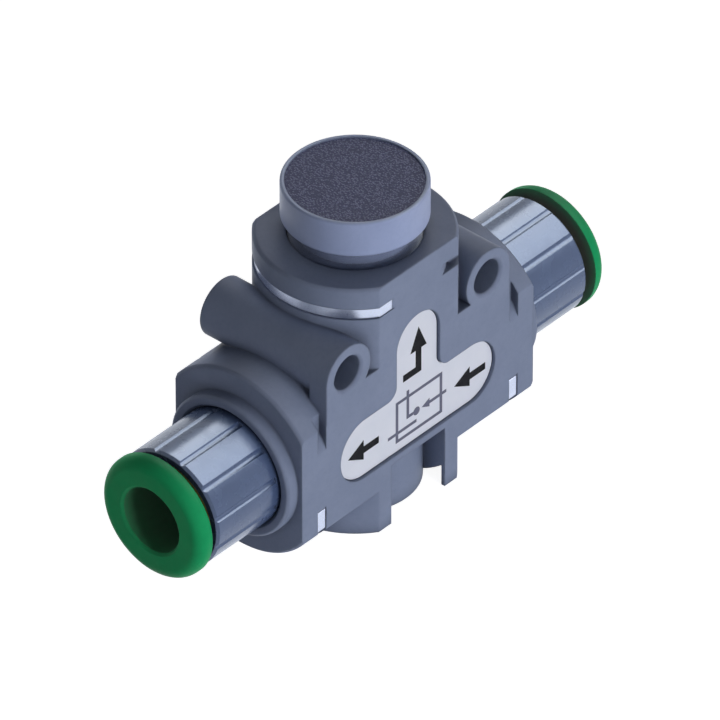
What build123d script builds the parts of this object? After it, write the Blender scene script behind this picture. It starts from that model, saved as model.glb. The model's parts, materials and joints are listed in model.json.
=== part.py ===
from build123d import *
import os

# In-line quick exhaust valve for plastic tube, in millimetres.
# +Z is up and the origin lies on the base, below the crossing of the flow axis and the
# exhaust axis. The flow axis runs along X with the inlet at +X, and the label faces -Y.

# Tee body
flat_spacing = 18.5
run_diameter = 23.3
run_length = 38.4
end_boss_diameter = 17.4
end_boss_length = 1.6
end_boss_recess = 0.6
tower_diameter = 22.6
tower_height = 20.9
flow_height = 12.7
edge_break = 0.3

# Mounting lugs on both sides of the tower
lug_pitch = 23.1
lug_width = 7.2
lug_height = 12.2
lug_web_height = 10.0
lug_rib_thickness = 2.5
mounting_hole_diameter = 4.2

# Underside of the body
base_boss_diameter = 15.0
skirt_wall = 0.5
recess_roof_radius = 13.3
window_width = 8.9
window_drop = 4.6

# Passages inside the body
chamber_diameter = 12.8
passage_diameter = 6.0
duct_width = 6.0
duct_wall = 1.2
socket_depth = 10.5
tower_bore_diameter = 15.2
tower_bore_depth = 13.1

# Fits
running_gap = 0.05
seat_gap = 0.1
fixed_gap = 0.02

# How far cutters run past a surface, and how closely an edge or corner is matched by its place
cutter_reach = 1.0
match_tolerance = 0.01

# Fork clips and their grooves
port_clip_setback = 3.3
exhaust_clip_setback = 3.35
clip_thickness = 1.3
clip_gap = 0.05
port_groove_depth = 1.6
exhaust_groove_depth = 1.25
clip_head_depth = 0.2
clip_leg_width = 1.7
clip_leg_reach = 6.0
clip_bite = 1.0
clip_tip_bevel = 0.8
clip_bridge_width = 16.4

# Seal rings
o_ring_section = 1.5
o_ring_squeeze = 0.1
o_ring_groove_width = 1.9
plug_ring_section = 1.1
plug_groove_width = 1.4

# Tube fittings
tube_diameter = 8.0
tube_gap = 0.05
tube_passage_diameter = 6.0
tube_stop_wall = 3.7
seal_section = 1.75
seal_length = 2.4
seal_washer_length = 1.1
gripper_section = 2.25
gripper_depth = 1.05
gripper_thickness = 0.3
gripper_rim = 0.9
gripper_tooth_count = 10
gripper_slot_width = 0.7
spigot_wall = 0.8
sleeve_wall = 1.0
sleeve_length = 10.4
flute_count = 12
flute_radius = 0.5
flute_depth = 0.22
collar_recess = 0.3
collar_length = 4.2
collar_lip_length = 2.1
collar_lip_section = 1.15
collar_wide_section = 1.65
ring_travel = 1.1
ring_flange_length = 1.9
ring_flange_diameter = 15.0
ring_dome = 1.4
ring_hook_length = 0.7
ring_hook_height = 0.45
ring_mouth_bevel = 0.3

# Silencer
silencer_diameter = 16.5
silencer_neck_diameter = 13.0
silencer_lift = 2.1
silencer_band_height = 4.6
silencer_rim = 0.5
silencer_cavity_diameter = 10.4
silencer_disc_thickness = 2.4
silencer_disc_sink = 0.2

# Exhaust seat
seat_tube_diameter = 7.8
seat_tube_bore = 5.8
seat_flange_thickness = 2.8

# Inlet seat, bottom plug and moving lip seal
plug_length = 2.8
inlet_gallery_height = 2.0
inlet_seat_thickness = 0.9
inlet_seat_lip = 0.3
inlet_seat_bore = 5.2
inlet_seat_lip_width = 0.7
inlet_seat_leg_count = 4
inlet_seat_leg_thickness = 1.2
plug_pocket_diameter = 6.0
plug_pocket_depth = 1.6
lip_seal_height = 2.55
lip_seal_travel = 1.5
lip_seal_core_diameter = 9.0
lip_seal_foot_diameter = 8.0
lip_seal_lip_height = 2.3

# Label
label_length = 25.4
label_bar_height = 7.8
label_bar_lift = 0.3
label_stem_width = 6.9
label_top = 13.7
label_corner = 1.6
label_thickness = 0.3
label_gap = 0.12
label_recess_depth = 0.7

# Radii and places that follow from the sizes above
half_flat = flat_spacing / 2
end_face = run_length / 2 + end_boss_length
socket_bottom = end_face - socket_depth
exhaust_shoulder = tower_height - tower_bore_depth
tube_radius = tube_diameter / 2
tube_bore_radius = tube_radius + tube_gap
seal_pocket_radius = tube_radius + seal_section
gripper_pocket_radius = tube_radius + gripper_section
spigot_radius = seal_pocket_radius + spigot_wall
sleeve_radius = gripper_pocket_radius + sleeve_wall
socket_radius = spigot_radius + running_gap
tower_bore_radius = tower_bore_diameter / 2
silencer_spigot_radius = tower_bore_radius - running_gap
chamber_radius = chamber_diameter / 2
insert_radius = chamber_radius - fixed_gap
port_clip_height = run_length / 2 - port_clip_setback
exhaust_clip_height = tower_height - exhaust_clip_setback
port_clip_bite = spigot_radius - clip_bite
exhaust_clip_bite = silencer_spigot_radius - clip_bite
port_groove_radius = run_diameter / 2 - port_groove_depth
exhaust_groove_radius = tower_diameter / 2 - exhaust_groove_depth
clip_slot_thickness = clip_thickness + 2 * clip_gap
inlet_gallery_floor = plug_length + seat_gap
inlet_seat_top = plug_length + inlet_gallery_height + inlet_seat_thickness + inlet_seat_lip
exhaust_seat_lip = inlet_seat_top + lip_seal_height + lip_seal_travel + running_gap

# Places along a fitting, worked out from its outer end inward
sleeve_end = end_face - end_boss_recess + running_gap + sleeve_length
collar_high = sleeve_end - collar_recess
collar_low = collar_high - collar_length
collar_lip_low = collar_high - collar_lip_length
gripper_floor = collar_low - running_gap - gripper_depth
seal_floor = gripper_floor - seal_washer_length - seal_length - 2 * fixed_gap
ring_nose = gripper_floor + gripper_depth + ring_travel + 2 * running_gap

# Seal ring grooves: floor radius and middle height
fitting_groove_radius = socket_radius - o_ring_section + o_ring_squeeze
fitting_ring_height = socket_bottom + seat_gap + o_ring_groove_width
tower_groove_radius = tower_bore_radius - o_ring_section + o_ring_squeeze
silencer_ring_height = exhaust_shoulder + seat_flange_thickness + seat_gap + o_ring_groove_width
seat_ring_height = exhaust_shoulder + seat_flange_thickness / 2
plug_groove_radius = chamber_radius - plug_ring_section + o_ring_squeeze
plug_ring_height = plug_length / 2 + seat_gap

# Each port has its own frame: local Z runs outward along the port's axis from the crossing
# of the axes, and its clip is pushed in along local Y.
crossing = (0, 0, flow_height)
inlet_port = Plane(origin=crossing, x_dir=(0, 1, 0), z_dir=(1, 0, 0))
outlet_port = Plane(origin=crossing, x_dir=(0, -1, 0), z_dir=(-1, 0, 0))
exhaust_port = Plane(origin=crossing, x_dir=(0, -1, 0), z_dir=(0, 0, 1))
label_plane = Plane(origin=(0, -half_flat, flow_height), x_dir=(1, 0, 0), z_dir=(0, -1, 0))


def turned(*outline):
    """A solid turned about local Z from (radius, height) corners."""
    corners = [(radius, 0, height) for radius, height in outline]
    return revolve(make_face(Polyline(*corners, close=True)), Axis.Z)


def disc(radius, low, high):
    """A round bar along local Z between two heights."""
    return turned((0, low), (radius, low), (radius, high), (0, high))


def ring(inner_radius, outer_radius, low, high):
    """A plain ring about local Z between two heights."""
    return turned((inner_radius, low), (outer_radius, low), (outer_radius, high), (inner_radius, high))


def groove(floor_radius, surface_radius, middle, width):
    """What a ring groove takes out of a round surface."""
    return ring(floor_radius, surface_radius + cutter_reach, middle - width / 2, middle + width / 2)


def block(x_low, x_high, y_low, y_high, z_low, z_high):
    """A box between two corners."""
    size = (x_high - x_low, y_high - y_low, z_high - z_low)
    middle = ((x_low + x_high) / 2, (y_low + y_high) / 2, (z_low + z_high) / 2)
    return Pos(*middle) * Box(*size)


def bevelled_bar(radius, low, high):
    """A round bar along local Z with its upper edge broken."""
    shoulder = high - edge_break
    return turned((0, low), (radius, low), (radius, shoulder), (radius - edge_break, high), (0, high))


def o_ring(floor_radius, wall_radius, height):
    """A seal ring squeezed between a groove's floor and the bore round it."""
    return Pos(0, 0, height) * Torus(
        (floor_radius + wall_radius) / 2,
        (wall_radius - floor_radius) / 2 - running_gap,
    )


def label_outline(margin):
    """Inverted T with round ends, in the plane of the front flat."""
    bar = Pos(0, label_bar_lift) * SlotOverall(label_length, label_bar_height)
    stem_high = label_top - label_stem_width / 2
    stem = Pos(0, stem_high / 2) * Rectangle(label_stem_width, stem_high)
    stem_end = Pos(0, stem_high) * Circle(label_stem_width / 2)
    outline = bar + stem + stem_end
    bar_top = label_bar_lift + label_bar_height / 2
    half_stem = label_stem_width / 2
    inner_corners = outline.vertices().filter_by(
        lambda corner: abs(corner.Y - bar_top) < match_tolerance
        and abs(abs(corner.X) - half_stem) < match_tolerance
    )
    return offset(fillet(inner_corners, label_corner), margin)


def clip_groove(floor_radius, outer_radius, bite_radius, height):
    """What a fork clip needs cut away: a ring groove, bridged at the back, and two leg slots."""
    outline = Circle(outer_radius + cutter_reach) - Circle(floor_radius)
    outline -= Pos(0, outer_radius) * Rectangle(clip_bridge_width, 2 * outer_radius)
    slot_width = clip_leg_width + 2 * clip_gap
    slot_end = clip_leg_reach + seat_gap
    slot_middle = (slot_end - floor_radius) / 2
    for side in (-1, 1):
        centre = side * (bite_radius + clip_leg_width / 2)
        outline += Pos(centre, slot_middle) * Rectangle(slot_width, slot_end + floor_radius)
    return Pos(0, 0, height - clip_slot_thickness / 2) * extrude(outline, clip_slot_thickness)


def fork_clip(floor_radius, outer_radius, bite_radius, height):
    """A flat fork: its head fills the groove on one side and its legs hold a spigot."""
    head_inner = floor_radius + clip_gap
    head = Circle(outer_radius - clip_head_depth) - Circle(head_inner)
    head_width = flat_spacing - 2 * seat_gap
    head &= Pos(0, -outer_radius / 2) * Rectangle(head_width, outer_radius)
    leg_inner = bite_radius + clip_gap
    leg_outer = bite_radius + clip_leg_width
    root_radius = (head_inner + outer_radius - clip_head_depth) / 2
    leg = make_face(
        Polyline(
            (leg_inner, -((root_radius**2 - leg_inner**2) ** 0.5)),
            (leg_outer, -((root_radius**2 - leg_outer**2) ** 0.5)),
            (leg_outer, clip_leg_reach - clip_tip_bevel),
            (leg_outer - clip_tip_bevel, clip_leg_reach),
            (leg_inner, clip_leg_reach),
            close=True,
        )
    )
    outline = head + leg + mirror(leg, about=Plane.YZ)
    return Pos(0, 0, height - clip_thickness / 2) * extrude(outline, clip_thickness)


def tee_blank():
    """The outside of the tee, with its two flats, before anything is hollowed out."""
    half_run = bevelled_bar(run_diameter / 2, 0, run_length / 2)
    end_boss = bevelled_bar(end_boss_diameter / 2, 0, end_face)
    arm = half_run + end_boss
    tower = bevelled_bar(tower_diameter / 2, 0, flow_height + tower_height)
    tee = tower + inlet_port * arm + outlet_port * arm
    half_pitch = lug_pitch / 2
    lug_axis = flow_height + lug_height
    rib_back = -half_flat + lug_rib_thickness
    for side in (-1, 1):
        centre = side * half_pitch
        tee += Pos(centre, 0, lug_axis) * Rot(90, 0, 0) * Cylinder(lug_width / 2, flat_spacing)
        low_x, high_x = sorted((centre, centre + side * lug_width / 2))
        tee += block(low_x, high_x, -half_flat, rib_back, flow_height, lug_axis)
    web_top = flow_height + lug_web_height
    tee += block(-half_pitch, half_pitch, -half_flat, half_flat, flow_height, web_top)
    reach = end_face + cutter_reach
    return tee & block(-reach, reach, -half_flat, half_flat, 0, flow_height + tower_height)


def underside_cuts():
    """The ring recess in the base and the window in the skirt on both flats."""
    outer = disc(tower_diameter / 2 - skirt_wall, 0, flow_height)
    half_inside = half_flat - skirt_wall
    outer &= block(-tower_diameter, tower_diameter, -half_inside, half_inside, 0, flow_height)
    roof = inlet_port * disc(recess_roof_radius, -tower_diameter, tower_diameter)
    half_window = window_width / 2
    window = block(-half_window, half_window, -half_flat, half_flat, 0, flow_height - window_drop)
    return (outer - roof + window) - disc(base_boss_diameter / 2, 0, flow_height)


def socket():
    """A stepped hole for a fitting sleeve, along a port's local Z."""
    mouth = end_face - end_boss_recess
    mouth_radius = sleeve_radius + seat_gap
    return disc(socket_radius, socket_bottom, end_face) + turned(
        (0, mouth),
        (mouth_radius, mouth),
        (mouth_radius, end_face - edge_break),
        (mouth_radius + edge_break, end_face),
        (0, end_face),
    )


def inlet_duct():
    """The flat duct that leads the inlet air down beside the chamber and in below its seat."""
    half_width = duct_width / 2
    duct_inner = chamber_radius + duct_wall
    duct_outer = socket_bottom + running_gap
    top = flow_height + passage_diameter / 2
    gallery_top = plug_length + inlet_gallery_height
    down = block(duct_inner, duct_outer, -half_width, half_width, inlet_gallery_floor, top)
    across = block(0, duct_outer, -half_width, half_width, inlet_gallery_floor, gallery_top)
    return down + across


def mounting_hole():
    """A cross hole along local Z through both flats, with broken edges."""
    bore = mounting_hole_diameter / 2
    mouth = bore + edge_break
    return turned(
        (0, -half_flat),
        (mouth, -half_flat),
        (bore, -half_flat + edge_break),
        (bore, half_flat - edge_break),
        (mouth, half_flat),
        (0, half_flat),
    )


def body():
    """The moulded tee."""
    tee = tee_blank() - underside_cuts()
    tee -= disc(chamber_radius, 0, flow_height + exhaust_shoulder)
    tee -= disc(tower_bore_radius, flow_height + exhaust_shoulder, flow_height + tower_height)
    tee -= inlet_port * socket()
    tee -= outlet_port * socket()
    tee -= outlet_port * disc(passage_diameter / 2, 0, socket_bottom)
    tee -= inlet_duct()
    for side in (-1, 1):
        tee -= Pos(side * lug_pitch / 2, 0, flow_height + lug_height) * Rot(90, 0, 0) * mounting_hole()
    port_groove = clip_groove(port_groove_radius, run_diameter / 2, port_clip_bite, port_clip_height)
    tee -= inlet_port * port_groove
    tee -= outlet_port * port_groove
    tee -= exhaust_port * clip_groove(
        exhaust_groove_radius, tower_diameter / 2, exhaust_clip_bite, exhaust_clip_height
    )
    tee -= label_plane * extrude(label_outline(label_gap), -label_recess_depth)
    return tee


def label():
    """The plate in the recess of the front flat."""
    plate = extrude(label_outline(0), label_thickness)
    return label_plane * Pos(0, 0, -label_recess_depth) * plate


def sleeve():
    """A fluted fitting sleeve: spigot inside the body, tube bore and stepped pocket."""
    tip = socket_bottom + seat_gap
    shoulder = end_face - end_boss_recess + running_gap
    stop = tip + tube_stop_wall
    outside = turned(
        (0, tip),
        (spigot_radius - edge_break, tip),
        (spigot_radius, tip + edge_break),
        (spigot_radius, shoulder),
        (sleeve_radius, shoulder),
        (sleeve_radius, sleeve_end - edge_break),
        (sleeve_radius - edge_break, sleeve_end),
        (0, sleeve_end),
    )
    inside = disc(tube_passage_diameter / 2, tip, stop)
    inside += disc(tube_bore_radius, stop, seal_floor)
    inside += disc(seal_pocket_radius, seal_floor, gripper_floor)
    inside += disc(gripper_pocket_radius, gripper_floor, sleeve_end)
    piece = outside - inside
    piece -= groove(fitting_groove_radius, spigot_radius, fitting_ring_height, o_ring_groove_width)
    piece -= groove(port_clip_bite, spigot_radius, port_clip_height, clip_slot_thickness)
    flute_low = end_face + edge_break
    cutter = Pos(sleeve_radius + flute_radius - flute_depth, 0, (flute_low + sleeve_end) / 2) * Cylinder(
        flute_radius, sleeve_end - flute_low + edge_break
    )
    for index in range(flute_count):
        piece -= Rot(0, 0, (index + 0.5) * 360 / flute_count) * cutter
    return piece


def tube_seal():
    """The lip seal round the tube, drawn with its lips as they stand on a fitted tube."""
    outer = seal_pocket_radius - fixed_gap
    waist = (outer + tube_bore_radius) / 2
    low = seal_floor + fixed_gap
    high = low + seal_length
    lip = seal_length / 4
    return turned(
        (tube_bore_radius, low + lip),
        (waist, low + lip / 2),
        (waist, low),
        (outer, low),
        (outer, high),
        (waist, high),
        (tube_bore_radius, high - lip / 2),
    )


def seal_washer():
    """The washer that keeps the tube seal away from the gripper's teeth."""
    low = gripper_floor - seal_washer_length
    return ring(tube_bore_radius + seat_gap, seal_pocket_radius - fixed_gap, low, gripper_floor)


def gripper():
    """The steel ring whose teeth point inward and hold the tube."""
    outer = gripper_pocket_radius - fixed_gap
    rim = outer - gripper_rim
    high = gripper_floor + gripper_depth
    low = gripper_floor + seat_gap
    blank = turned(
        (tube_bore_radius, low),
        (tube_bore_radius + gripper_thickness, low),
        (rim, high - gripper_thickness),
        (outer, high - gripper_thickness),
        (outer, high),
        (rim, high),
        (tube_bore_radius, low + gripper_thickness),
    )
    slot = block(0, rim, -gripper_slot_width / 2, gripper_slot_width / 2, low, high)
    for index in range(gripper_tooth_count):
        blank -= Rot(0, 0, index * 360 / gripper_tooth_count) * slot
    return blank


def collar():
    """The ring pressed in the sleeve that holds the gripper and traps the release ring."""
    outer = gripper_pocket_radius - fixed_gap
    return turned(
        (tube_radius + collar_wide_section, collar_low),
        (outer, collar_low),
        (outer, collar_high),
        (tube_radius + collar_lip_section, collar_high),
        (tube_radius + collar_lip_section, collar_lip_low),
        (tube_radius + collar_wide_section, collar_lip_low),
    )


def release_ring():
    """The ring that is pressed in to spread the gripper's teeth and let the tube go."""
    stem = tube_radius + collar_lip_section - running_gap
    hook = stem + ring_hook_height
    hook_high = collar_lip_low - running_gap
    hook_low = hook_high - ring_hook_length
    flange_low = sleeve_end + ring_travel + running_gap
    flange_high = flange_low + ring_flange_length
    flange = ring_flange_diameter / 2
    outline = turned(
        (tube_bore_radius, ring_nose),
        (stem - ring_hook_height, ring_nose),
        (hook, hook_low),
        (hook, hook_high),
        (stem, hook_high),
        (stem, flange_low),
        (flange, flange_low),
        (flange, flange_high),
        (tube_bore_radius + ring_mouth_bevel, flange_high),
        (tube_bore_radius, flange_high - ring_mouth_bevel),
    )
    rim = outline.edges().filter_by(GeomType.CIRCLE).filter_by(
        lambda edge: abs(edge.radius - flange) < match_tolerance
        and abs(edge.center().Z - flange_high) < match_tolerance
    )
    return fillet(rim, ring_dome)


def fitting_o_ring():
    """The ring that seals a sleeve in its socket."""
    return o_ring(fitting_groove_radius, socket_radius, fitting_ring_height)


def silencer_housing():
    """Spigot, neck and round cap of the silencer."""
    spigot_low = exhaust_shoulder + seat_flange_thickness + seat_gap
    band_low = tower_height + silencer_lift
    band_high = band_low + silencer_band_height
    band = silencer_diameter / 2
    disc_seat = band_high - silencer_disc_sink - silencer_disc_thickness
    housing = turned(
        (silencer_cavity_diameter / 2, spigot_low),
        (silencer_spigot_radius - edge_break, spigot_low),
        (silencer_spigot_radius, spigot_low + edge_break),
        (silencer_spigot_radius, tower_height - edge_break),
        (silencer_neck_diameter / 2, tower_height),
        (silencer_neck_diameter / 2, band_low),
        (band - edge_break, band_low),
        (band, band_low + edge_break),
        (band, band_high - edge_break / 2),
        (band - edge_break / 2, band_high),
        (band - silencer_rim, band_high),
        (band - silencer_rim, disc_seat),
        (silencer_cavity_diameter / 2, disc_seat),
    )
    spigot = silencer_spigot_radius
    housing -= groove(tower_groove_radius, spigot, silencer_ring_height, o_ring_groove_width)
    housing -= groove(exhaust_clip_bite, spigot, exhaust_clip_height, clip_slot_thickness)
    return housing


def silencer_disc():
    """The porous disc that lets the exhaust air out."""
    high = tower_height + silencer_lift + silencer_band_height - silencer_disc_sink
    radius = silencer_diameter / 2 - silencer_rim - fixed_gap
    return disc(radius, high - silencer_disc_thickness, high)


def exhaust_seat():
    """The tube that the lip seal closes from below, on a flange in the tower's bore."""
    low = exhaust_seat_lip - flow_height
    flange_low = exhaust_shoulder
    flange_high = exhaust_shoulder + seat_flange_thickness
    piece = turned(
        (seat_tube_bore / 2, low),
        (seat_tube_diameter / 2, low),
        (seat_tube_diameter / 2, flange_low),
        (tower_bore_radius - fixed_gap, flange_low),
        (tower_bore_radius - fixed_gap, flange_high),
        (seat_tube_bore / 2 + edge_break, flange_high),
        (seat_tube_bore / 2, flange_high - edge_break),
    )
    return piece - groove(tower_groove_radius, tower_bore_radius, seat_ring_height, o_ring_groove_width)


def lip_seal():
    """The moving cup: its foot closes the inlet, its top closes the exhaust."""
    low = inlet_seat_top
    lip = chamber_radius - running_gap
    core = lip_seal_core_diameter / 2
    lip_tip = (lip - core) / 4
    root = low + lip_seal_lip_height / 2
    return turned(
        (0, low),
        (lip_seal_foot_diameter / 2, low),
        (lip, low + lip_seal_lip_height - 2 * lip_tip),
        (lip, low + lip_seal_lip_height),
        (lip - lip_tip, low + lip_seal_lip_height),
        (core + lip_tip, root),
        (core, root),
        (core, low + lip_seal_height),
        (0, low + lip_seal_height),
    )


def inlet_seat():
    """Disc with the lower seat, standing on legs that leave the gallery open."""
    low = plug_length + inlet_gallery_height
    bore = inlet_seat_bore / 2
    top = low + inlet_seat_thickness
    piece = turned(
        (bore, low),
        (insert_radius, low),
        (insert_radius, top),
        (bore + inlet_seat_lip_width, top),
        (bore + inlet_seat_lip_width, inlet_seat_top),
        (bore, inlet_seat_top),
    )
    leg_wall = ring(insert_radius - inlet_seat_leg_thickness, insert_radius, plug_length, low)
    leg = leg_wall & block(0, chamber_diameter, -duct_width / 4, duct_width / 4, plug_length, low)
    for index in range(inlet_seat_leg_count):
        piece += Rot(0, 0, (index + 0.5) * 360 / inlet_seat_leg_count) * leg
    return piece


def bottom_plug():
    """The cap that closes the base boss, with its seal groove and a pocket below."""
    pocket = plug_pocket_diameter / 2
    piece = turned(
        (0, plug_pocket_depth),
        (pocket, plug_pocket_depth),
        (pocket, seat_gap),
        (insert_radius, seat_gap),
        (insert_radius, plug_length),
        (0, plug_length),
    )
    return piece - groove(plug_groove_radius, insert_radius, plug_ring_height, plug_groove_width)


parts = {
    "body": body(),
    "label": label(),
    "bottom_plug": bottom_plug(),
    "bottom_plug_o_ring": o_ring(plug_groove_radius, chamber_radius, plug_ring_height),
    "inlet_seat": inlet_seat(),
    "lip_seal": lip_seal(),
    "exhaust_seat": exhaust_port * exhaust_seat(),
    "exhaust_seat_o_ring": exhaust_port * o_ring(tower_groove_radius, tower_bore_radius, seat_ring_height),
    "silencer_housing": exhaust_port * silencer_housing(),
    "silencer_disc": exhaust_port * silencer_disc(),
    "silencer_o_ring": exhaust_port * o_ring(tower_groove_radius, tower_bore_radius, silencer_ring_height),
    "exhaust_clip": exhaust_port
    * fork_clip(exhaust_groove_radius, tower_diameter / 2, exhaust_clip_bite, exhaust_clip_height),
}
for side, port in (("inlet", inlet_port), ("outlet", outlet_port)):
    parts[side + "_clip"] = port * fork_clip(
        port_groove_radius, run_diameter / 2, port_clip_bite, port_clip_height
    )
    parts[side + "_sleeve"] = port * sleeve()
    parts[side + "_fitting_o_ring"] = port * fitting_o_ring()
    parts[side + "_tube_seal"] = port * tube_seal()
    parts[side + "_seal_washer"] = port * seal_washer()
    parts[side + "_gripper_ring"] = port * gripper()
    parts[side + "_collar"] = port * collar()
    parts[side + "_release_ring"] = port * release_ring()

os.makedirs("parts", exist_ok=True)
for name, shape in parts.items():
    export_step(shape, f"parts/{name}.step")
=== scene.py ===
"""Finishes, printed marks and studio of the in-line quick exhaust valve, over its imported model.

Everything is in metres in the model's own frame: +X runs along the flow axis towards the
inlet, +Z up along the exhaust axis, and the label faces -Y.
"""

import json
import logging
import math
from dataclasses import dataclass, field
from enum import Enum

import bmesh
import bpy
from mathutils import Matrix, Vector


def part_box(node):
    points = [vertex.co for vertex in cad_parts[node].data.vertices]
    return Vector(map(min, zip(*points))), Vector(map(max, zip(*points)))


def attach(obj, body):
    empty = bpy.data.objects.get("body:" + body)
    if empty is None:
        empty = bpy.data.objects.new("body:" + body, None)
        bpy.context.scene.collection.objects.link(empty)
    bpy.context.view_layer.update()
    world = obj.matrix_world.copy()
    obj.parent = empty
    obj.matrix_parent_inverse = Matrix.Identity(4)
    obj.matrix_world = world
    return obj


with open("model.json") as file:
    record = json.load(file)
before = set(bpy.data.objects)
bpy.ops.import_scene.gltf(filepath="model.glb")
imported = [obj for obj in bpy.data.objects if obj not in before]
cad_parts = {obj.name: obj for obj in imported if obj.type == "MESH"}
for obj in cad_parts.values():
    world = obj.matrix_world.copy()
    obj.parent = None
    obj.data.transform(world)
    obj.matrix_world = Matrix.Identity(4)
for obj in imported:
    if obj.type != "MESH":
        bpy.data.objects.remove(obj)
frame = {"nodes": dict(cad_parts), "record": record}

LOG = logging.getLogger("quick_exhaust_valve")
MILLIMETRE = 0.001
MICROMETRE = 0.000001

NOISE_ROUGHNESS = 0.55
OCCLUSION_SAMPLES = 6
BEVEL_SAMPLES = 4

Colour = tuple[float, float, float]
Point = tuple[float, float]
Outline = list[Point]


def shade(code: str) -> Colour:
    """Turn a display colour code into the linear colour that a shader takes.

    Args:
        code: The colour as six hexadecimal digits.

    Returns:
        Red, green and blue from 0 to 1, linear.
    """
    channels = [int(code[start:start + 2], 16) / 255 for start in (0, 2, 4)]
    red, green, blue = [((c + 0.055) / 1.055) ** 2.4 if c > 0.04 else c / 12.92 for c in channels]
    return red, green, blue


class Side(Enum):
    """The two tube ports, with the way each one faces along the flow axis."""

    INLET = 1
    OUTLET = -1

    @property
    def word(self) -> str:
        """The first word of the names of this port's nodes."""
        return self.name.lower()


class Grain(Enum):
    """How the fine texture of a surface runs."""

    SPARKED = "even fine grain of a spark-eroded mould"
    POLISHED = "near-smooth face of a polished mould"


class ShaderSheet:
    """One procedural material while it is put together, node by node."""

    def __init__(self, name: str) -> None:
        """Start a material with its principled shader.

        Args:
            name: The material's name.
        """
        self.material = bpy.data.materials.new(name)
        self.material.use_nodes = True
        self.tree = self.material.node_tree
        self.shader = self.tree.nodes["Principled BSDF"]
        self.place = self.add("ShaderNodeTexCoord").outputs["Object"]

    def add(self, kind: str, **values: object) -> bpy.types.Node:
        """Add a node and set its inputs and options.

        Args:
            kind: Blender's name for the node.
            **values: Input names with their values, underscores standing for spaces. A
                value that is a socket is linked, and a name that isn't an input is an option.

        Returns:
            The new node.
        """
        node = self.tree.nodes.new(kind)
        for word, value in values.items():
            label = word.replace("_", " ")
            if label not in node.inputs:
                setattr(node, word, value)
            elif isinstance(value, bpy.types.NodeSocket):
                self.tree.links.new(value, node.inputs[label])
            else:
                node.inputs[label].default_value = value
        return node

    def set(self, **values: object) -> None:
        """Set or link inputs of the principled shader.

        Args:
            **values: Input names with their values, underscores standing for spaces.
        """
        for word, value in values.items():
            socket = self.shader.inputs[word.replace("_", " ")]
            if isinstance(value, bpy.types.NodeSocket):
                self.tree.links.new(value, socket)
            elif isinstance(value, tuple):
                socket.default_value = (*value, 1.0)
            else:
                socket.default_value = value

    def stretched(self, factors: tuple[float, float, float]) -> bpy.types.NodeSocket:
        """Object coordinates scaled by a factor along each axis.

        Args:
            factors: The factors along X, Y and Z.

        Returns:
            The scaled coordinates.
        """
        return self.add("ShaderNodeMapping", Vector=self.place, Scale=factors).outputs["Vector"]

    def noise(
        self, feature: float, detail: float = 2.0, place: bpy.types.NodeSocket | None = None
    ) -> bpy.types.NodeSocket:
        """Soft random variation whose patches are about one feature across.

        Args:
            feature: The size of a patch in metres.
            detail: How many finer layers are added.
            place: The coordinates to use, or None for object coordinates.

        Returns:
            A value round one half.
        """
        node = self.add(
            "ShaderNodeTexNoise", Vector=place or self.place, Scale=1 / feature, Detail=detail,
            Roughness=NOISE_ROUGHNESS,
        )
        return node.outputs["Fac"]

    def beads(self, feature: float) -> bpy.types.NodeSocket:
        """Cells about one feature across, each with its own centre.

        Args:
            feature: The size of a cell in metres.

        Returns:
            The distance from the nearest centre, in cells.
        """
        return self.add("ShaderNodeTexVoronoi", Vector=self.place, Scale=1 / feature).outputs["Distance"]

    def levels(
        self, value: bpy.types.NodeSocket, low: float, high: float, start: float = 0.3, stop: float = 0.7
    ) -> bpy.types.NodeSocket:
        """Spread the middle of a value's range over new limits.

        Args:
            value: The value to spread.
            low: What start becomes.
            high: What stop becomes.
            start: The low end of the range that is spread.
            stop: The high end of the range that is spread.

        Returns:
            The new value, held between the limits.
        """
        node = self.add("ShaderNodeMapRange", Value=value)
        node.inputs["From Min"].default_value = start
        node.inputs["From Max"].default_value = stop
        node.inputs["To Min"].default_value = low
        node.inputs["To Max"].default_value = high
        return node.outputs["Result"]

    def between(self, first: Colour, second: Colour, share: bpy.types.NodeSocket) -> bpy.types.NodeSocket:
        """A colour that runs from one to another.

        Args:
            first: The colour where the share is 0.
            second: The colour where the share is 1.
            share: The share of the second colour.

        Returns:
            The mixed colour.
        """
        node = self.add("ShaderNodeMix", data_type="RGBA")
        self.tree.links.new(share, node.inputs[0])
        node.inputs[6].default_value = (*first, 1.0)
        node.inputs[7].default_value = (*second, 1.0)
        return node.outputs[2]

    def toned(
        self, colour: bpy.types.NodeSocket, second: Colour, share: bpy.types.NodeSocket
    ) -> bpy.types.NodeSocket:
        """A varying colour with a second colour laid over part of it.

        Args:
            colour: The colour underneath.
            second: The colour on top.
            share: How much of the second colour shows.

        Returns:
            The mixed colour.
        """
        node = self.add("ShaderNodeMix", data_type="RGBA")
        self.tree.links.new(share, node.inputs[0])
        self.tree.links.new(colour, node.inputs[6])
        node.inputs[7].default_value = (*second, 1.0)
        return node.outputs[2]

    def relief(
        self, height: bpy.types.NodeSocket, depth: float, under: bpy.types.NodeSocket | None = None
    ) -> bpy.types.NodeSocket:
        """A surface normal that follows a fine relief.

        Args:
            height: The relief's height from 0 to 1.
            depth: What a height of 1 stands for, in metres.
            under: The normal that the relief lies on, or None for the surface's own.

        Returns:
            The new normal.
        """
        node = self.add("ShaderNodeBump", Height=height, Distance=depth, Strength=1.0)
        if under is not None:
            self.tree.links.new(under, node.inputs["Normal"])
        return node.outputs["Normal"]

    def openness(self, reach: float) -> bpy.types.NodeSocket:
        """How open the surroundings of a point are.

        Args:
            reach: How far away other surfaces still count, in metres.

        Returns:
            1 on an open face, falling towards 0 in a crease.
        """
        return self.add("ShaderNodeAmbientOcclusion", samples=OCCLUSION_SAMPLES, Distance=reach).outputs["AO"]

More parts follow.
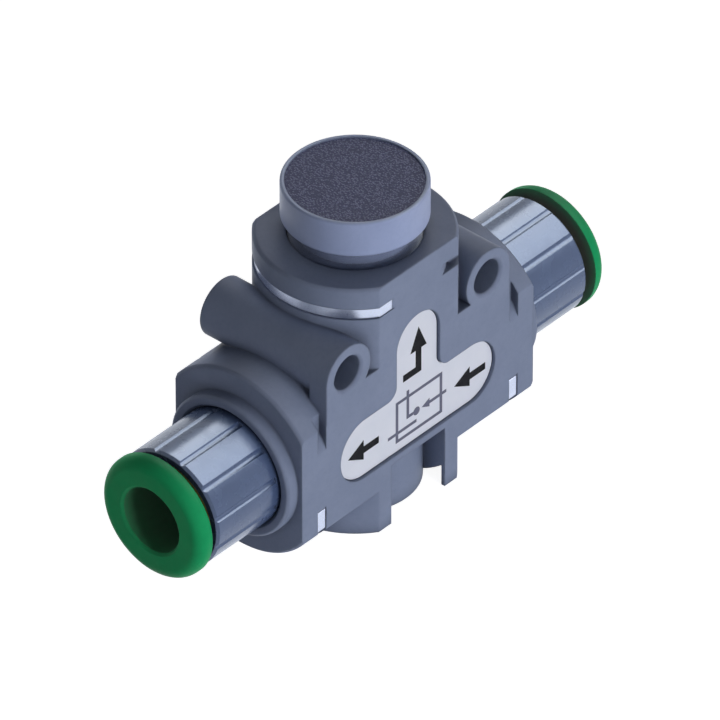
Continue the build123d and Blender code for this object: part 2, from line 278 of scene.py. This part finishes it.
    def rounded(self, radius: float) -> bpy.types.NodeSocket:
        """A surface normal that looks rounded at the edges.

        Args:
            radius: The radius of the rounding in metres.

        Returns:
            The new normal.
        """
        node = self.add("ShaderNodeBevel", samples=BEVEL_SAMPLES, Radius=radius)
        return node.outputs["Normal"]


@dataclass(frozen=True)
class MouldedPlastic:
    """Injection-moulded plastic with flow mottling, the grain of its mould and painted shade in its creases.
    """

    name: str
    colour: Colour
    streak: Colour
    roughness: float
    specular: float = 0.4
    mottle_size: float = 6.0 * MILLIMETRE
    mottle_share: float = 0.55
    fleck_size: float = 500 * MICROMETRE
    fleck_share: float = 0.3
    wear_size: float = 2.2 * MILLIMETRE
    polished: float = 0.05
    dulled: float = 0.07
    grain: Grain = Grain.SPARKED
    grain_size: float = 160 * MICROMETRE
    grain_depth: float = 6 * MICROMETRE
    polished_grain_scale: float = 4.0
    edge_radius: float = 120 * MICROMETRE
    coat: float = 0.0
    coat_roughness: float = 0.18
    gloss_tint: Colour = (1.0, 1.0, 1.0)
    # Painted shade: a dark colour laid over the creases, as far as ambient occlusion finds them.
    crease: Colour = (0.02, 0.024, 0.035)
    crease_reach: float = 2.4 * MILLIMETRE
    crease_share: float = 0.6
    crease_closed: float = 0.25
    crease_open: float = 0.85

    def surface_colour(self, sheet: ShaderSheet) -> bpy.types.NodeSocket:
        """The streaked and flecked colour, with painted shade darkening the creases.

        Args:
            sheet: The material that is being put together.

        Returns:
            The colour.
        """
        mottle = sheet.levels(sheet.noise(self.mottle_size, 3.0), 0.0, self.mottle_share)
        fleck = sheet.levels(sheet.noise(self.fleck_size, 2.0), 0.0, self.fleck_share, 0.45, 0.75)
        colour = sheet.between(self.colour, self.streak, mottle)
        colour = sheet.toned(colour, self.streak, fleck)
        # Painted shade: where ambient occlusion finds a crease, the colour darkens towards the crease colour.
        openness = sheet.openness(self.crease_reach)
        depth = sheet.levels(openness, self.crease_share, 0.0, self.crease_closed, self.crease_open)
        return sheet.toned(colour, self.crease, depth)

    def mould_grain(self, sheet: ShaderSheet) -> bpy.types.NodeSocket:
        """The height of the texture that the mould leaves.

        Args:
            sheet: The material that is being put together.

        Returns:
            The height from 0 to 1.
        """
        if self.grain is Grain.SPARKED:
            return sheet.noise(self.grain_size, 3.0)
        return sheet.noise(self.grain_size * self.polished_grain_scale, 1.0)

    def make(self) -> bpy.types.Material:
        """The finished material."""
        sheet = ShaderSheet(self.name)
        wear = sheet.levels(
            sheet.noise(self.wear_size, 3.0), self.roughness - self.polished, self.roughness + self.dulled
        )
        sheet.set(Base_Color=self.surface_colour(sheet), Roughness=wear)
        sheet.set(Specular_IOR_Level=self.specular, Specular_Tint=self.gloss_tint)
        if self.coat > 0:
            sheet.set(Coat_Weight=self.coat, Coat_Roughness=self.coat_roughness, Coat_Tint=self.gloss_tint)
        edge = sheet.rounded(self.edge_radius)
        sheet.set(Normal=sheet.relief(self.mould_grain(sheet), self.grain_depth, edge))
        return sheet.material


@dataclass(frozen=True)
class PorousPlastic:
    """Sintered beads, with painted shade in the pores between them and darker patches at random."""

    name: str
    bead: Colour
    pore: Colour
    bead_size: float = 240 * MICROMETRE
    bead_crown: float = 0.1
    bead_edge: float = 0.62
    bead_roughness: float = 0.55
    pore_roughness: float = 0.85
    patch_size: float = 2.0 * MILLIMETRE
    patch_share: float = 0.35
    specular: float = 0.35
    relief_depth: float = 60 * MICROMETRE

    def make(self) -> bpy.types.Material:
        """The finished material."""
        sheet = ShaderSheet(self.name)
        distance = sheet.beads(self.bead_size)
        crown = sheet.levels(distance, 1.0, 0.0, self.bead_crown, self.bead_edge)
        patch = sheet.levels(sheet.noise(self.patch_size), 0.0, self.patch_share)
        # Painted shade: the pore colour darkens the gaps round each bead; the same colour also lays darker
        # patches at random.
        colour = sheet.between(self.pore, self.bead, crown)
        colour = sheet.toned(colour, self.pore, patch)
        dullness = sheet.levels(
            distance, self.bead_roughness, self.pore_roughness, self.bead_crown, self.bead_edge
        )
        sheet.set(Base_Color=colour, Roughness=dullness, Specular_IOR_Level=self.specular)
        sheet.set(Normal=sheet.relief(crown, self.relief_depth))
        return sheet.material


@dataclass(frozen=True)
class RolledMetal:
    """Bright metal with the fine lines of its rolling or turning."""

    name: str
    colour: Colour
    shadow: Colour
    roughness: float
    across: tuple[float, float, float]
    line_size: float = 120 * MICROMETRE
    line_depth: float = 3 * MICROMETRE
    patch_size: float = 3.0 * MILLIMETRE
    patch_share: float = 0.6
    polished: float = 0.08
    dulled: float = 0.1
    edge_radius: float = 80 * MICROMETRE

    def make(self) -> bpy.types.Material:
        """The finished material."""
        sheet = ShaderSheet(self.name)
        lines = sheet.noise(self.line_size, 3.0, sheet.stretched(self.across))
        patch = sheet.levels(sheet.noise(self.patch_size), 0.0, self.patch_share)
        wear = sheet.levels(lines, self.roughness - self.polished, self.roughness + self.dulled)
        sheet.set(Base_Color=sheet.between(self.colour, self.shadow, patch), Roughness=wear, Metallic=1.0)
        sheet.set(Normal=sheet.relief(lines, self.line_depth, sheet.rounded(self.edge_radius)))
        return sheet.material


@dataclass(frozen=True)
class PrintedFilm:
    """Smooth film of the label, a little uneven where the glue is thicker."""

    name: str
    colour: Colour
    tint: Colour
    roughness: float
    specular: float = 0.4
    cloud_size: float = 4.0 * MILLIMETRE
    cloud_share: float = 0.6
    wear_size: float = 1.5 * MILLIMETRE
    polished: float = 0.06
    dulled: float = 0.08
    fibre_size: float = 200 * MICROMETRE
    fibre_depth: float = 3 * MICROMETRE
    edge_radius: float = 60 * MICROMETRE

    def make(self) -> bpy.types.Material:
        """The finished material."""
        sheet = ShaderSheet(self.name)
        cloud = sheet.levels(sheet.noise(self.cloud_size, 3.0), 0.0, self.cloud_share)
        fibre = sheet.noise(self.fibre_size, 3.0)
        wear = sheet.levels(
            sheet.noise(self.wear_size), self.roughness - self.polished, self.roughness + self.dulled
        )
        sheet.set(Base_Color=sheet.between(self.colour, self.tint, cloud), Roughness=wear)
        sheet.set(Specular_IOR_Level=self.specular)
        sheet.set(Normal=sheet.relief(fibre, self.fibre_depth, sheet.rounded(self.edge_radius)))
        return sheet.material


@dataclass(frozen=True)
class SealRubber:
    """Moulded rubber with a dry bloom in patches."""

    name: str
    colour: Colour
    bloom: Colour
    roughness: float = 0.62
    roughness_spread: float = 0.1
    wear_size: float = 500 * MICROMETRE
    specular: float = 0.3
    bloom_size: float = 1.2 * MILLIMETRE
    bloom_share: float = 0.7
    grain_size: float = 150 * MICROMETRE
    grain_depth: float = 6 * MICROMETRE

    def make(self) -> bpy.types.Material:
        """The finished material."""
        sheet = ShaderSheet(self.name)
        patch = sheet.levels(sheet.noise(self.bloom_size, 4.0), 0.0, self.bloom_share, 0.45, 0.8)
        wear = sheet.levels(
            sheet.noise(self.wear_size),
            self.roughness - self.roughness_spread,
            self.roughness + self.roughness_spread,
        )
        sheet.set(Base_Color=sheet.between(self.colour, self.bloom, patch), Roughness=wear)
        sheet.set(Specular_IOR_Level=self.specular)
        sheet.set(Normal=sheet.relief(sheet.noise(self.grain_size), self.grain_depth))
        return sheet.material


# The body gets the default painted shade in its creases.
BODY = MouldedPlastic(
    "body_plastic", shade("848faa"), shade("76819b"), roughness=0.5, specular=0.1,
    edge_radius=400 * MICROMETRE,
)
HOUSING = MouldedPlastic(
    "silencer_plastic", shade("9ca9ce"), shade("8d9ac0"), roughness=0.4, specular=0.35,
    gloss_tint=(0.75, 0.85, 1.0), grain=Grain.POLISHED, grain_depth=4 * MICROMETRE,
    # Painted shade on the silencer's neck and under its band, reaching further than on the body.
    edge_radius=350 * MICROMETRE, crease_reach=3.5 * MILLIMETRE, crease_share=0.95, crease_open=0.78,
)
SLEEVE = MouldedPlastic(
    "sleeve_plastic", shade("526080"), shade("4b5876"), roughness=0.26, specular=0.6,
    gloss_tint=(0.66, 0.8, 1.0), grain=Grain.POLISHED, grain_depth=3 * MICROMETRE, coat=0.4,
)
INSERT = MouldedPlastic("insert_plastic", shade("b9bcc4"), shade("a9adb6"), roughness=0.45)
RELEASE = MouldedPlastic(
    "release_plastic", shade("20a266"), shade("1b915b"), roughness=0.45, specular=0.06,
    grain=Grain.POLISHED, grain_depth=4 * MICROMETRE, edge_radius=200 * MICROMETRE,
    # Painted shade: a dark grey laid into the ring's bore and under its flange.
    crease=(0.13, 0.13, 0.125), crease_reach=8.0 * MILLIMETRE, crease_share=1.0, crease_open=0.95,
)
DISC = PorousPlastic("porous_disc", shade("5f6796"), shade("3e436a"))
LABEL = PrintedFilm("label_film", shade("dee2f0"), shade("d4daea"), roughness=0.38)
INK = PrintedFilm("flow_ink", shade("0b0b10"), shade("15151c"), roughness=0.6, specular=0.1)
PALE_INK = PrintedFilm("sign_ink", shade("6c6e84"), shade("606278"), roughness=0.6, specular=0.1)
CLIP = RolledMetal("clip_steel", shade("d3dcf2"), shade("b9c3dc"), roughness=0.3, across=(1.0, 12.0, 1.0))
GRIPPER = RolledMetal(
    "gripper_steel", shade("8f939c"), shade("787c86"), roughness=0.25, across=(9.0, 1.0, 1.0)
)
BRASS = RolledMetal("collar_brass", shade("c9a86a"), shade("b8934f"), roughness=0.3, across=(12.0, 1.0, 1.0))
RUBBER = SealRubber("seal_rubber", shade("17171a"), shade("26262b"))
TUBE_SEAL = SealRubber("tube_seal_rubber", shade("571717"), shade("6d2626"))

Finish = MouldedPlastic | PorousPlastic | RolledMetal | PrintedFilm | SealRubber


class Paintbox:
    """Makes each finish once and puts it on nodes and pieces."""

    def __init__(self) -> None:
        """Start with no finish made."""
        self.made: dict[str, bpy.types.Material] = {}

    def dress(self, piece: bpy.types.Object, finish: Finish) -> None:
        """Give a piece one finish all over.

        Args:
            piece: The node's object or the piece.
            finish: The finish to put on it.
        """
        if finish.name not in self.made:
            self.made[finish.name] = finish.make()
        piece.data.materials.clear()
        piece.data.materials.append(self.made[finish.name])
        LOG.info("%s wears %s", piece.name, finish.name)

    def dress_nodes(self, finishes: dict[str, Finish]) -> None:
        """Give each named node its finish.

        Args:
            finishes: Node names with their finishes.
        """
        for node, finish in finishes.items():
            self.dress(frame["nodes"][node], finish)


def mount_place(name: str) -> Vector:
    """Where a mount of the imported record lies.

    Args:
        name: The mount's name.

    Returns:
        Its place in metres.
    """
    found = [mount for mount in frame["record"]["mounts"] if mount["name"] == name]
    return Vector(found[0]["pos_m"])


@dataclass
class FlowArrow:
    """A printed arrow that points towards -X or +Z, with an optional foot."""

    name: str
    tip: Point
    tail: float
    upright: bool = False
    foot_end: float = 0.0
    foot_width: float = 0.95 * MILLIMETRE
    head_length: float = 2.6 * MILLIMETRE
    head_width: float = 2.7 * MILLIMETRE
    stem_width: float = 0.95 * MILLIMETRE

    def outlines(self) -> list[Outline]:
        """The arrow's one closed outline, in the label's plane."""
        along, across = (self.tip[1], self.tip[0]) if self.upright else (-self.tip[0], self.tip[1])
        base = along - self.head_length
        end = self.tail if self.upright else -self.tail
        half_head, half_stem = self.head_width / 2, self.stem_width / 2
        points = [(along, across), (base, across + half_head), (base, across + half_stem)]
        points += [(end, across + half_stem)]
        if self.upright:
            points += [(end, self.foot_end), (end + self.foot_width, self.foot_end)]
            points += [(end + self.foot_width, across - half_stem)]
        else:
            points += [(end, across - half_stem)]
        points += [(base, across - half_stem), (base, across - half_head)]
        if self.upright:
            return [[(side, height) for height, side in points]]
        return [[(-length, side) for length, side in points]]


@dataclass
class ValveSign:
    """The printed sign of a quick exhaust valve: a box, its ports, a seat and a shuttle."""

    name: str = "label_sign"
    low: Point = (-3.1 * MILLIMETRE, -2.3 * MILLIMETRE)
    high: Point = (4.2 * MILLIMETRE, 2.9 * MILLIMETRE)
    line: float = 0.42 * MILLIMETRE
    port_height: float = 0.1 * MILLIMETRE
    port_reach: float = 0.9 * MILLIMETRE
    outlet_height: float = -1.2 * MILLIMETRE
    outlet_reach: float = 1.5 * MILLIMETRE
    exhaust_side: float = -1.3 * MILLIMETRE
    seat_tip: float = 1.0 * MILLIMETRE
    seat_length: float = 1.3 * MILLIMETRE
    seat_half: float = 0.6 * MILLIMETRE
    shuttle_side: float = 0.15 * MILLIMETRE
    shuttle_half: float = 0.55 * MILLIMETRE
    shuttle_corners: int = 12

    def bar(self, start: Point, end: Point) -> Outline:
        """A straight stroke of the sign's line width.

        Args:
            start: Where its centre line starts.
            end: Where its centre line ends, level with the start or plumb with it.

        Returns:
            The stroke's closed outline.
        """
        half = self.line / 2
        low_x, high_x = sorted((start[0], end[0]))
        low_z, high_z = sorted((start[1], end[1]))
        if high_z - low_z > high_x - low_x:
            low_x, high_x = low_x - half, high_x + half
        else:
            low_z, high_z = low_z - half, high_z + half
        return [(low_x, low_z), (high_x, low_z), (high_x, high_z), (low_x, high_z)]

    def outlines(self) -> list[Outline]:
        """The sign's strokes, in the label's plane."""
        half = self.line / 2
        (left, bottom), (right, top) = self.low, self.high
        strokes = [
            self.bar((left - half, bottom), (right + half, bottom)),
            self.bar((left - half, top), (right + half, top)),
            self.bar((left, bottom + half), (left, top - half)),
            self.bar((right, bottom + half), (right, top - half)),
            self.bar((right + half, self.port_height), (right + self.port_reach, self.port_height)),
            self.bar((self.seat_tip + self.seat_length, self.port_height), (right - half, self.port_height)),
            self.bar((left - self.outlet_reach, self.outlet_height), (left - half, self.outlet_height)),
            self.bar((left + half, self.outlet_height), (self.shuttle_side, self.outlet_height)),
            self.bar((self.exhaust_side, top + half), (self.exhaust_side, top + self.port_reach)),
            self.bar((self.exhaust_side, self.port_height + half), (self.exhaust_side, top - half)),
            self.bar(
                (self.exhaust_side - half, self.port_height),
                (self.shuttle_side - self.shuttle_half, self.port_height),
            ),
        ]
        seat_back = self.seat_tip + self.seat_length
        seat = [
            (self.seat_tip, self.port_height),
            (seat_back, self.port_height - self.seat_half),
            (seat_back, self.port_height + self.seat_half),
        ]
        turns = [index * math.tau / self.shuttle_corners for index in range(self.shuttle_corners)]
        shuttle = [
            (
                self.shuttle_side + self.shuttle_half * math.cos(turn),
                self.port_height + self.shuttle_half * math.sin(turn),
            )
            for turn in turns
        ]
        return strokes + [seat, shuttle]


@dataclass
class FlowLabel:
    """The white plate of the front flat, with the marks that are printed on it."""

    ink_height: float = 0.012 * MILLIMETRE
    arrows: list[FlowArrow] = field(default_factory=lambda: [
        FlowArrow(
            "label_arrow_exhaust", tip=(0.45 * MILLIMETRE, 11.6 * MILLIMETRE), tail=5.3 * MILLIMETRE,
            upright=True, foot_end=-2.1 * MILLIMETRE, head_length=3.1 * MILLIMETRE,
        ),
        FlowArrow("label_arrow_inlet", tip=(6.4 * MILLIMETRE, -0.2 * MILLIMETRE), tail=11.6 * MILLIMETRE),
        FlowArrow("label_arrow_outlet", tip=(-11.2 * MILLIMETRE, -0.2 * MILLIMETRE), tail=-6.1 * MILLIMETRE),
    ])
    sign: ValveSign = field(default_factory=ValveSign)

    def print_mark(self, name: str, outlines: list[Outline]) -> bpy.types.Object:
        """Lay a thin film of ink on the plate.

        Args:
            name: The new piece's name.
            outlines: Closed outlines in the label's plane, from the flow axis.

        Returns:
            The printed piece.
        """
        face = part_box("label")[0].y
        flow_axis = mount_place("inlet_tube").z
        mesh = bmesh.new()
        for outline in outlines:
            back = [mesh.verts.new((x, face, flow_axis + z)) for x, z in outline]
            front = [mesh.verts.new((x, face - self.ink_height, flow_axis + z)) for x, z in outline]
            mesh.faces.new(front)
            for index, corner in enumerate(front):
                before = front[index - 1]
                mesh.faces.new((before, corner, back[index], back[index - 1]))
        bmesh.ops.recalc_face_normals(mesh, faces=mesh.faces)
        data = bpy.data.meshes.new(name)
        mesh.to_mesh(data)
        mesh.free()
        piece = bpy.data.objects.new(name, data)
        bpy.context.scene.collection.objects.link(piece)
        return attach(piece, "valve_body")

    def build(self, paintbox: Paintbox) -> None:
        """Print the marks and dress the plate.

        Args:
            paintbox: What puts the finishes on.
        """
        paintbox.dress_nodes({"label": LABEL})
        for arrow in self.arrows:
            paintbox.dress(self.print_mark(arrow.name, arrow.outlines()), INK)
        paintbox.dress(self.print_mark(self.sign.name, self.sign.outlines()), PALE_INK)


@dataclass
class TeeBody:
    """The moulded tee with what stays fixed in it."""

    label: FlowLabel = field(default_factory=FlowLabel)

    def build(self, paintbox: Paintbox) -> None:
        """Dress the tee, its clips and the fixed inner pieces.

        Args:
            paintbox: What puts the finishes on.
        """
        paintbox.dress_nodes({
            "body": BODY,
            "bottom_plug": BODY,
            "bottom_plug_o_ring": RUBBER,
            "inlet_seat": INSERT,
            "exhaust_seat": INSERT,
            "exhaust_seat_o_ring": RUBBER,
            "lip_seal": RUBBER,
            "exhaust_clip": CLIP,
            "inlet_clip": CLIP,
            "outlet_clip": CLIP,
        })
        self.label.build(paintbox)


@dataclass
class Silencer:
    """The round cap with its porous disc."""

    def build(self, paintbox: Paintbox) -> None:
        """Dress the housing, the disc and the seal ring.

        Args:
            paintbox: What puts the finishes on.
        """
        paintbox.dress_nodes({"silencer_housing": HOUSING, "silencer_disc": DISC, "silencer_o_ring": RUBBER})


@dataclass
class TubeFitting:
    """One push-in fitting: sleeve, seals, gripper, collar and release ring."""

    side: Side

    def build(self, paintbox: Paintbox) -> None:
        """Dress the fitting's nodes.

        Args:
            paintbox: What puts the finishes on.
        """
        finishes = {
            "sleeve": SLEEVE,
            "fitting_o_ring": RUBBER,
            "tube_seal": TUBE_SEAL,
            "seal_washer": INSERT,
            "gripper_ring": GRIPPER,
            "collar": BRASS,
            "release_ring": RELEASE,
        }
        paintbox.dress_nodes({f"{self.side.word}_{piece}": finish for piece, finish in finishes.items()})


class Task(Enum):
    """What a lamp is for."""

    FILL = "light with no reflection of the lamp"
    GLOSS = "a reflection on glossy faces with no light of its own"


@dataclass(frozen=True)
class SoftBox:
    """A rectangular studio lamp that faces the valve."""

    name: str
    direction: tuple[float, float, float]
    level: float
    width: float
    height: float
    task: Task
    distance: float = 0.6

    def hang(self, centre: Vector) -> None:
        """Put the lamp up.

        Args:
            centre: The point that it faces.
        """
        data = bpy.data.lights.new(self.name, "AREA")
        data.shape = "RECTANGLE"
        data.size = self.width
        data.size_y = self.height
        data.energy = self.level * (math.pi * self.distance) ** 2
        lamp = bpy.data.objects.new(self.name, data)
        lamp.visible_diffuse = self.task is not Task.GLOSS
        lamp.visible_glossy = self.task is not Task.FILL
        away = Vector(self.direction).normalized()
        lamp.location = centre + away * self.distance
        lamp.rotation_mode = "QUATERNION"
        lamp.rotation_quaternion = away.to_track_quat("Z", "Y")
        bpy.context.scene.collection.objects.link(lamp)


@dataclass
class Studio:
    """Floor, sky, lamps and the camera at the photograph's angle."""

    azimuth: float = math.radians(48.5)
    elevation: float = math.radians(37.6)
    distance: float = 1.746
    view_width: float = 0.0792
    aim_right: float = 0.00053
    aim_up: float = 0.00215
    sensor: float = 36.0
    floor_size: float = 6.0
    floor_gap: float = 0.02 * MILLIMETRE
    floor_colour: float = 0.6
    floor_glow: float = 0.92
    sky_low: float = 0.2
    sky_high: float = 0.08
    lamps: tuple[SoftBox, ...] = (
        SoftBox("key_box", (-0.05, -1.0, 0.03), 1.06, 0.3, 0.3, Task.FILL),
        SoftBox("back_box", (0.5, 1.0, 0.0), 0.7, 0.3, 0.2, Task.FILL),
        SoftBox("side_box", (-0.95, -0.3, 0.1), 0.07, 0.3, 0.3, Task.FILL),
        SoftBox("gloss_box", (0.59, -0.075, 0.8), 2.3, 0.95, 0.45, Task.GLOSS),
    )

    def crossing(self) -> Vector:
        """Where the flow axis crosses the exhaust axis."""
        return Vector((0, 0, mount_place("inlet_tube").z))

    def build_camera(self) -> None:
        """Make the camera, which looks past the crossing of the axes as the photograph does."""
        back = Vector((
            -math.sin(self.azimuth) * math.cos(self.elevation),
            -math.cos(self.azimuth) * math.cos(self.elevation),
            math.sin(self.elevation),
        ))
        right = Vector((math.cos(self.azimuth), -math.sin(self.azimuth), 0))
        up = back.cross(right)
        data = bpy.data.cameras.new("camera")
        data.sensor_width = self.sensor
        data.lens = self.sensor * self.distance / self.view_width
        camera = bpy.data.objects.new("camera", data)
        aim = self.crossing() + right * self.aim_right + up * self.aim_up
        camera.location = aim + back * self.distance
        camera.rotation_mode = "QUATERNION"
        camera.rotation_quaternion = back.to_track_quat("Z", "Y")
        bpy.context.scene.collection.objects.link(camera)
        bpy.context.scene.camera = camera

    def seen_directly(self, tree: bpy.types.NodeTree) -> bpy.types.NodeSocket:
        """Tell rays that show the background from rays that light the valve.

        Args:
            tree: The node tree that the test goes into.

        Returns:
            1 for a camera, glossy or transmission ray and 0 for any other.
        """
        path = tree.nodes.new("ShaderNodeLightPath")
        total = path.outputs["Is Camera Ray"]
        for name in ("Is Glossy Ray", "Is Transmission Ray"):
            either = tree.nodes.new("ShaderNodeMath")
            either.operation = "MAXIMUM"
            tree.links.new(total, either.inputs[0])
            tree.links.new(path.outputs[name], either.inputs[1])
            total = either.outputs[0]
        return total

    def build_floor(self) -> None:
        """Lay the pale floor, which keeps the valve's shadow."""
        half = self.floor_size / 2
        mesh = bmesh.new()
        signs = ((-1, -1), (1, -1), (1, 1), (-1, 1))
        corners = [mesh.verts.new((x * half, y * half, -self.floor_gap)) for x, y in signs]
        mesh.faces.new(corners)
        data = bpy.data.meshes.new("floor")
        mesh.to_mesh(data)
        mesh.free()
        floor = bpy.data.objects.new("floor", data)
        bpy.context.scene.collection.objects.link(floor)
        material = bpy.data.materials.new("floor_paper")
        material.use_nodes = True
        tree = material.node_tree
        tree.nodes.remove(tree.nodes["Principled BSDF"])
        paper = tree.nodes.new("ShaderNodeBsdfDiffuse")
        paper.inputs["Color"].default_value = (self.floor_colour,) * 3 + (1.0,)
        glow = tree.nodes.new("ShaderNodeEmission")
        strength = tree.nodes.new("ShaderNodeMath")
        strength.operation = "MULTIPLY"
        strength.inputs[1].default_value = self.floor_glow
        tree.links.new(self.seen_directly(tree), strength.inputs[0])
        tree.links.new(strength.outputs[0], glow.inputs["Strength"])
        both = tree.nodes.new("ShaderNodeAddShader")
        tree.links.new(paper.outputs[0], both.inputs[0])
        tree.links.new(glow.outputs[0], both.inputs[1])
        tree.links.new(both.outputs[0], tree.nodes["Material Output"].inputs["Surface"])
        data.materials.append(material)

    def build_sky(self) -> None:
        """Make the soft surrounding light, white where it shows directly."""
        world = bpy.data.worlds.new("studio_sky")
        bpy.context.scene.world = world
        world.use_nodes = True
        tree = world.node_tree
        place = tree.nodes.new("ShaderNodeTexCoord")
        split = tree.nodes.new("ShaderNodeSeparateXYZ")
        tree.links.new(place.outputs["Generated"], split.inputs[0])
        fade = tree.nodes.new("ShaderNodeMapRange")
        tree.links.new(split.outputs["Z"], fade.inputs["Value"])
        fade.inputs["To Min"].default_value = self.sky_low
        fade.inputs["To Max"].default_value = self.sky_high
        shown = tree.nodes.new("ShaderNodeMix")
        tree.links.new(self.seen_directly(tree), shown.inputs[0])
        tree.links.new(fade.outputs["Result"], shown.inputs[2])
        shown.inputs[3].default_value = 1.0
        tree.links.new(shown.outputs[0], tree.nodes["Background"].inputs["Strength"])
        tree.nodes["Background"].inputs["Color"].default_value = (1.0, 1.0, 1.0, 1.0)

    def build(self) -> None:
        """Set up the whole studio."""
        self.build_camera()
        self.build_floor()
        self.build_sky()
        for lamp in self.lamps:
            lamp.hang(self.crossing())
            LOG.info("%s hangs", lamp.name)
        bpy.context.scene.view_settings.view_transform = "Standard"


def main() -> None:
    """Dress the valve, sub-assembly by sub-assembly, and set up the studio."""
    logging.basicConfig(level=logging.INFO, format="%(message)s")
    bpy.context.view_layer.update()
    paintbox = Paintbox()
    TeeBody().build(paintbox)
    Silencer().build(paintbox)
    for side in Side:
        TubeFitting(side).build(paintbox)
    Studio().build()


if __name__ == "__main__":
    main()
